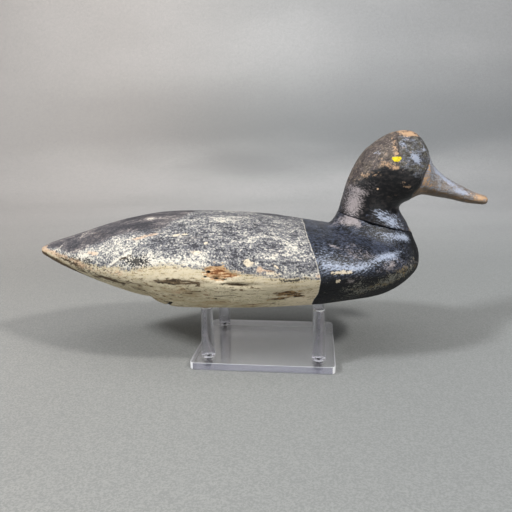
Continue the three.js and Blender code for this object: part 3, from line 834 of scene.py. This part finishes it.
def stained(f, g, colour):
    """Soot, peach tint, grime with the painted shade under the tail and beside the scratch, and the worn
    hollow over the body's paint.
    """
    soot = (f.field("soot") * 1.1 + g.speck.swing(-4.2) + g.fleck.swing(1.4)).above(0.72, 0.15)
    tint = (f.field("tint") + g.clump.swing(1.6) + g.ragged).above(0.7, 0.35)
    # Grime, together with the painted shade under the tail and beside the scratch
    smear = (f.field("grime") + g.cloud.swing(2) + g.ragged * 0.7).above(0.55, 0.4)
    grime = (f.field("grime") + g.streak.swing(2.8) + g.ragged * 0.6).above(0.65, 0.3)
    dirt = f.mix(GRIME_BROWN, GRIME_BLACK, (g.streak + (g.speck - 0.5)).above(0.52, 0.14))
    worn = f.coats(HOLLOW_DARK, g.streak + g.ragged * 0.25, HOLLOW_COATS)
    hollow = (f.field("hollow") + g.ragged * 0.7 + g.streak.swing(2)).above(0.12, 0.25)
    return f.washes(
        colour,
        (SOOT, soot * 0.92),
        (TINT_PEACH, tint * 0.7),
        (GRIME_BROWN, smear * 0.45),
        (dirt, grime * 0.9),
        (worn, hollow),
    )


def black_breast(f, g, low, brush):
    """The black breast with its blue brush marks and its bloom, partly painted sheen, plainer where it is
    low, and its dust, partly painted pink sheen.
    """
    hatch = brush * 0.65 + g.speck * 0.35
    blue = (hatch + g.clump.swing(0.3)).above(0.52, 0.07) * (0.95 - low * 0.9)
    # Pale blue bloom: partly worn paint, partly painted sheen where the lamps' highlight falls
    bloom = f.field("bloom") * 0.85 + hatch.swing(3.4) + (g.clump - 0.5)
    bloom = (bloom - low * 0.15).above(0.68, 0.5) * f.field("bloom").above(*PATCH_EDGE)
    # Pinkish dust: partly dust, partly painted sheen of the warm light
    dust = (f.field("dust") * 0.85 + g.fleck.swing(2) + hatch.swing(3)).above(0.7, 0.5)
    dust = dust * f.field("dust").above(*PATCH_EDGE)
    mottle = f.field("mottle") + g.fleck.swing(1.6) + g.speck.swing(4.4) + (g.clump - 0.5)
    black = f.washes(
        BREAST_BLACK,
        (BREAST_BLUE, blue),
        (BLOOM_BLUE, bloom * 0.8),
        (DUST_PINK, dust * 0.7),
        (f.mix(MOTTLE_GREY, GOLD_OLIVE, g.clump.above(0.58, 0.08)), mottle.above(0.95, 0.3) * 0.75),
        (BREAST_BLACK, f.field("joint").above(0.5, 0.3) * 0.75),
    )
    return black, dust


def body_paint():
    f = Finish("body_paint")
    g = body_grain(f)
    belly = f.field("belly")
    below = (belly + g.ragged * 4 + g.streak.swing(5)).above(0, 1.4)
    colour = stained(f, g, f.mix(flank_and_rump(f, g), cream_belly(f, g), below))

    past_edge = f.field("breast") + g.ragged * 0.45
    breast = past_edge.above(0, 0.3)
    low = (belly.above(-1, 6) + f.field("front")).clamped()
    brush = f.strokes(0.8, 5, 14, 4)
    black, dust = black_breast(f, g, low, brush)
    cream = (f.field("cream") + g.ragged * 1.6 + (g.streak - 0.5)).above(0.1, 0.3)
    wood = f.coats(BARE_BROWN, g.streak + g.ragged * 0.25, WOOD_COATS)
    bare = (f.field("bare") + g.ragged * 1.1 + g.streak.swing(2.2)).above(0.02, 0.12)
    colour = f.washes(
        colour,
        (SPECK_WHITE, past_edge.above(-0.55, 0.25) * (1 - breast) * g.fleck),
        (black, breast),
        (CHIP_CREAM, cream * (0.15 + g.speck * 1.1)),
        (wood, bare),
        (PIT_DARK, (f.field("pit") + g.ragged * 0.5).above(0.1, 0.25)),
    )

    roughness = 0.8 - breast * (0.44 - low * 0.3) + dust * 0.15
    relief = g.speck * 0.5 + g.streak * 0.5 + g.fleck * 0.5 + breast * (brush * 0.4)
    return f.done(base_color=colour, roughness=roughness, ior=PAINT_IOR, normal=f.bump(relief, BODY_RELIEF))


def head_grain(f):
    """The noise that the head's paints share."""
    speck = f.grain(0.9, 1.2, 3, 0.65, 2)
    flake = f.grain(2.1, 1.6, 3, 0.65, 6)
    return SimpleNamespace(
        speck=speck,
        flake=flake,
        clump=f.grain(5.5, 1.1, 4, 0.65, 4),
        streak=f.grain(1.1, 5, 3, 0.65, 8),
        brush=f.strokes(0.9, 4.5, -25, 3),
        ragged=flake.swing(1.8) + speck.swing(1.2),
    )


def head_and_neck(f, g, height):
    """The scuffed brown head with its slate patches, on the neck's black and blue."""
    scuffed = g.flake * 0.25 + g.speck * 0.25 + g.clump * 0.15 + f.strokes(0.9, 4, 52, 5) * 0.35
    worn = f.mix(HEAD_BROWN, HEAD_OLIVE, (g.clump + g.ragged * 0.1).above(0.52, 0.08))
    neck = f.mix(BREAST_BLACK, BREAST_BLUE, (g.brush * 0.6 + g.speck * 0.4).above(0.52, 0.08))
    olive_slate = f.mix(SLATE_OLIVE, SLATE_GREY, (g.clump + g.ragged * 0.2).above(0.5, 0.14))
    slate = f.washes(
        HEAD_DARK,
        (olive_slate, (g.flake * 0.6 + g.speck * 0.4).above(0.47, 0.11)),
        (SLATE_PALE, (g.speck * 0.6 + g.flake * 0.4).above(0.6, 0.08) * 0.6),
    )
    return f.washes(
        HEAD_DARK,
        (worn, scuffed.above(0.46, 0.07)),
        (HEAD_LIGHT, scuffed.above(0.56, 0.06) * 0.75),
        (neck, (1 - (height + g.ragged * 8).above(NECK_PAINT_TOP, 8)) * 0.85),
        (slate, (f.field("slate") + g.ragged * 0.6).above(0.42, 0.2)),
    )


def bill_paint(f, g, height):
    """The bill's slate and brown, browner towards its underside."""
    worn = g.clump * 0.5 + g.streak * 0.3 + g.flake * 0.2 - (height - BILL_MIDDLE) * 0.006
    return f.washes(
        BILL_SLATE,
        (BILL_BROWN, worn.above(0.48, 0.1)),
        (HEAD_DARK, (g.streak * 0.2 + g.flake * 0.5 + g.speck * 0.3).above(0.53, 0.06) * 0.8),
        (BILL_SLATE, (g.flake * 0.3 + g.speck * 0.4 + g.clump * 0.3).above(0.56, 0.05) * 0.7),
    )


def head_paint():
    f = Finish("head_paint")
    g = head_grain(f)
    height = f.field("height")
    bill = f.field("bill").above(0.5, 0.3)

    pale = (f.field("pale") * 0.9 + g.clump.swing(1.2) + g.ragged * 1.2).above(0.62, 0.3)
    pale = pale * f.field("pale").above(0.2, 0.15)
    tan = (f.field("tan") * 0.9 + g.clump.swing(1.4) + g.ragged * 1.2).above(0.62, 0.28)
    tan = tan * f.field("tan").above(0.15, 0.15)
    wood = f.field("wood") * f.field("bill") * 0.9 + g.ragged * 1.3 + g.streak.swing(1.4)
    bill_wood = f.mix(BILL_ORANGE, TAN_WOOD, (g.clump + g.ragged * 0.3).above(0.5, 0.12))
    black = (f.field("black") * 1.2 + g.ragged * 0.5).above(0.4, 0.12) * (1 - bill)
    # Bloom on the neck: partly worn paint, partly painted sheen
    bloom = f.field("bloom") * 0.95 + g.brush.swing(3.6) + g.flake.swing(1.5) + (g.clump - 0.5)
    bloom = bloom.above(0.66, 0.5) * f.field("bloom").above(*PATCH_EDGE)
    # Pinkish dust: partly dust, partly painted sheen of the warm light
    dust = (f.field("dust") + g.brush.swing(2.4) + g.speck.swing(1.5)).above(0.5, 0.5)
    dust = dust * f.field("dust").above(*PATCH_EDGE)
    yellow = f.mix(EYE_SHADE, EYE_YELLOW, (g.speck * 0.5 + g.flake * 0.5).above(0.46, 0.06))
    colour = f.washes(
        head_and_neck(f, g, height),
        (bill_paint(f, g, height), bill),
        (SLATE_PALE, pale * 0.85),
        (TAN_WOOD, tan * (0.6 + g.speck * 0.5)),
        (bill_wood, wood.above(0.62, 0.25) * 0.9),
        (f.mix(BREAST_BLACK, HEAD_DARK, g.flake.above(0.55, 0.1)), black * (1 - tan * 0.6)),
        (BLOOM_BLUE, bloom * 0.78),
        (DUST_PINK, dust * 0.8),
        (GRIME_BLACK, f.field("base").above(0.35, 0.25) * 0.8),
        (BREAST_BLACK, f.field("joint").above(0.5, 0.3) * 0.85),
        # Painted shade under the bill
        (GRIME_BROWN, (f.field("underside") + g.ragged * 0.6).above(0.55, 0.3) * 0.6),
        (yellow, (f.field("eye") + g.speck.swing(1.2)).above(0.12, 0.12)),
        (TINT_PEACH, f.field("dot").above(0.1, 0.2)),
    )

    roughness = 0.62 - black * 0.14 - (1 - height.above(BILL_MIDDLE, 8)) * 0.16
    relief = g.flake * 0.7 + g.speck * 0.35 + g.streak * 0.2
    return f.done(base_color=colour, roughness=roughness, ior=PAINT_IOR, normal=f.bump(relief, HEAD_RELIEF))


def clear_acrylic(name, clearness, solidity, gloss, tint):
    """Polished clear acrylic. Light passes straight through the share that isn't solid."""
    f = Finish(name)
    haze = f.grain(9).above(0.5, 0.4) * 0.015
    return f.done(
        base_color=tint,
        roughness=haze,
        ior=ACRYLIC_IOR,
        coat_weight=gloss,
        coat_ior=2.0,
        transmission_weight=clearness,
        alpha=solidity,
        sheen_weight=1.0,
        sheen_roughness=0.28,
        sheen_tint=(0.94, 0.94, 1.0, 1),
    )


def screw_steel():
    f = Finish("screw_steel")
    shade = f.mix(STEEL_DARK, STEEL_WORN, f.grain(0.6).above(0.55, 0.15))
    return f.done(base_color=shade, roughness=0.5, metallic=0.8)


def sheet_cloth():
    """The sheet's cloth, with painted light and shade: a painted shade band on the wall behind the decoy,
    painted shade of soft folds, painted warm light on the left, painted cool shade on the right and painted
    shade on the floor to the right.
    """
    f = Finish("studio_sheet")
    place = f.node("ShaderNodeTexCoord", output="Object")
    side, back, rise = (f.node("ShaderNodeSeparateXYZ", None, {0: place}, axis) for axis in "XYZ")
    fold = f.grain(240, 2)
    band = (rise + fold.swing(0.15)).above(0.1, 0.08) * (1 - rise.above(0.34, 0.16))
    tone = f.washes(
        FLOOR_TONE,
        (WALL_TONE, back.above(0.5, 0.35)),
        # Painted shade: a darker band across the wall behind the decoy
        (CLOTH_SHADE, band * side.above(-0.65, 0.4) * 0.75),
        # Painted shade of soft folds
        (CLOTH_SHADE, fold.above(0.5, 0.2) * 0.2),
        # Painted warm light on the left
        (CLOTH_WARM, (1 - side.above(-0.25, 0.35)) * 0.35),
        # Painted cool shade on the right
        (CLOTH_COOL, side.above(0.15, 0.3) * 0.2),
        # Painted shade on the floor to the right
        (CLOTH_SHADE, side.above(0.05, 0.12) * (1 - back.above(0.1, 0.15)) * 0.35),
        (CLOTH_DARK, f.grain(1.0, 1.2, 3, 0.75).above(0.5, 0.1) * 0.44),
        (CLOTH_SHADE, f.grain(7, 1.3, 3, 0.7).above(0.5, 0.12) * 0.1),
    )
    return f.done(base_color=tone, roughness=0.9)


def build_peg(place):
    """A clear tapered peg with its screw hole from below."""
    lowest, highest = (Vector(corner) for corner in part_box("stand_peg_" + place))
    middle = (lowest + highest) / 2
    radius = (highest.x - lowest.x) / 2
    bpy.ops.object.select_all(action="DESELECT")
    bpy.ops.mesh.primitive_cone_add(
        vertices=PEG_SIDES,
        radius1=radius,
        radius2=radius * PEG_TAPER,
        depth=highest.z - lowest.z,
        location=middle,
    )
    peg = bpy.context.object
    peg.name = "clear_peg_" + place
    bpy.ops.object.transform_apply(location=True)
    bpy.ops.object.mode_set(mode="EDIT")
    bpy.ops.mesh.select_all(action="DESELECT")
    bpy.ops.object.mode_set(mode="OBJECT")
    for face in peg.data.polygons:
        face.select = face.normal.z < -TURNED
    bpy.ops.object.mode_set(mode="EDIT")
    bpy.ops.mesh.inset(thickness=radius - HOLE_RADIUS * MM)
    bpy.ops.mesh.extrude_region_move(TRANSFORM_OT_translate={"value": (0, 0, HOLE_DEPTH * MM)})
    bpy.ops.object.mode_set(mode="OBJECT")
    width = PEG_ROUNDING * MM
    finished_by(peg, "BEVEL", width=width, segments=5, limit_method="ANGLE", angle_limit=math.radians(60))
    bpy.ops.object.shade_smooth_by_angle(angle=math.radians(35))
    return peg


def build_plate():
    """The clear plate with its polished edges."""
    plate = copied_solid("stand_plate", "clear_plate")
    bpy.ops.object.mode_set(mode="EDIT")
    bpy.ops.mesh.select_all(action="SELECT")
    bpy.ops.mesh.remove_doubles(threshold=MERGE_REACH * MM)
    bpy.ops.mesh.dissolve_limited(angle_limit=math.radians(1))
    bpy.ops.object.mode_set(mode="OBJECT")
    width = PLATE_ROUNDING * MM
    finished_by(plate, "BEVEL", width=width, segments=3, limit_method="ANGLE", angle_limit=math.radians(50))
    bpy.ops.object.shade_smooth_by_angle(angle=math.radians(50))
    finished_by(plate, "WEIGHTED_NORMAL", weight=100, keep_sharp=True)
    return plate


def peg_axes():
    """The middle of each peg."""
    boxes = [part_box("stand_peg_" + place) for place in PLACES]
    return [(Vector(lowest) + Vector(highest)) / 2 for lowest, highest in boxes]


def dress(piece, material, node):
    piece.data.materials.clear()
    piece.data.materials.append(material)
    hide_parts(node)
    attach(piece, "root")


def polish_plate(plate, edge, rim):
    """Gives the front edge a darker violet copy of the acrylic, painted shade, and the other edges the
    whiter rim copy, a painted highlight, and leaves the rest as it is.
    """
    plate.data.materials.append(edge)
    plate.data.materials.append(rim)
    axes = peg_axes()
    for face in plate.data.polygons:
        in_a_hole = any((face.center.xy - axis.xy).length < HOLE_REACH * MM for axis in axes)
        if abs(face.normal.z) > LEVEL or in_a_hole:
            face.material_index = 0
        elif face.normal.y < -TURNED:
            face.material_index = 1
        else:
            face.material_index = 2


def polish_peg(peg, rim):
    """Gives the rounded edges of a peg the whiter rim material, a painted highlight."""
    peg.data.materials.append(rim)
    for face in peg.data.polygons:
        face.material_index = int(UPRIGHT < abs(face.normal.z) < LEVEL)


def build_stage():
    """A seamless sheet: floor, curved corner and wall in one."""
    profile = [(-FLOOR_REACH, -FLOOR_DROP)]
    for i in range(BACKDROP_STEPS + 1):
        angle = math.radians(90 * i / BACKDROP_STEPS)
        rise = BACKDROP_RADIUS * (1 - math.cos(angle)) - FLOOR_DROP
        profile.append((BACKDROP_START + BACKDROP_RADIUS * math.sin(angle), rise))
    profile.append((BACKDROP_START + BACKDROP_RADIUS, WALL_HEIGHT))
    points = [(side * FLOOR_REACH, y, z) for y, z in profile for side in (-1, 1)]
    faces = [(i, i + 1, i + 3, i + 2) for i in range(0, len(points) - 2, 2)]
    sheet = bpy.data.meshes.new("studio_sheet")
    sheet.from_pydata(points, [], faces)
    stage = bpy.data.objects.new("studio_sheet", sheet)
    bpy.context.collection.objects.link(stage)
    pick(stage)
    bpy.ops.object.shade_smooth()
    stage.data.materials.append(sheet_cloth())


def build_lights():
    for name, (place, aim, size, power, colour) in LIGHTS.items():
        lamp = bpy.data.lights.new(name, "AREA")
        lamp.shape = "RECTANGLE"
        lamp.size, lamp.size_y = size
        lamp.energy = power
        lamp.color = colour
        holder = bpy.data.objects.new(name, lamp)
        bpy.context.collection.objects.link(holder)
        holder.location = place
        holder.rotation_euler = (Vector(aim) - Vector(place)).to_track_quat("-Z", "Y").to_euler()
    world = bpy.data.worlds.new("studio")
    bpy.context.scene.world = world
    world.use_nodes = True
    background = world.node_tree.nodes["Background"]
    background.inputs["Color"].default_value = ROOM_LIGHT
    background.inputs["Strength"].default_value = ROOM_STRENGTH


def build_camera():
    lens = bpy.data.cameras.new("photo_view")
    lens.lens = LENS
    lens.sensor_width = SENSOR
    camera = bpy.data.objects.new("photo_view", lens)
    bpy.context.collection.objects.link(camera)
    turned = Matrix.Rotation(-math.radians(CAMERA_YAW), 4, "Z")
    tipped = Matrix.Rotation(math.radians(90 - CAMERA_DOWN), 4, "X")
    rolled = Matrix.Rotation(math.radians(CAMERA_ROLL), 4, "Z")
    camera.matrix_world = Matrix.Translation(Vector(CAMERA_PLACE) * MM) @ turned @ tipped @ rolled
    bpy.context.scene.camera = camera


build_camera()
build_stage()
build_lights()
bpy.context.scene.view_settings.view_transform = "Standard"

body = build_body()
dress(body, body_paint(), "decoy_body")
pick(body)
bpy.ops.object.shade_smooth()
head = build_head()
dress(head, head_paint(), "decoy_head")
pick(head)
bpy.ops.object.shade_smooth()

acrylic = clear_acrylic("clear_acrylic", *CLEAR_PLATE)
# Darker violet copy for the front edge: painted shade
acrylic_edge = clear_acrylic("clear_acrylic_edge", *CLEAR_EDGE)
acrylic_peg = clear_acrylic("clear_acrylic_peg", *CLEAR_PEG)
# Whiter copy for rounded edges: painted highlight
acrylic_rim = clear_acrylic("clear_acrylic_rim", *CLEAR_RIM)
plate = build_plate()
dress(plate, acrylic, "stand_plate")
polish_plate(plate, acrylic_edge, acrylic_rim)
for place in PLACES:
    peg = build_peg(place)
    dress(peg, acrylic_peg, "stand_peg_" + place)
    polish_peg(peg, acrylic_rim)
steel = screw_steel()
for place in PLACES:
    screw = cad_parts["stand_screw_" + place]
    screw.data.materials.clear()
    screw.data.materials.append(steel)
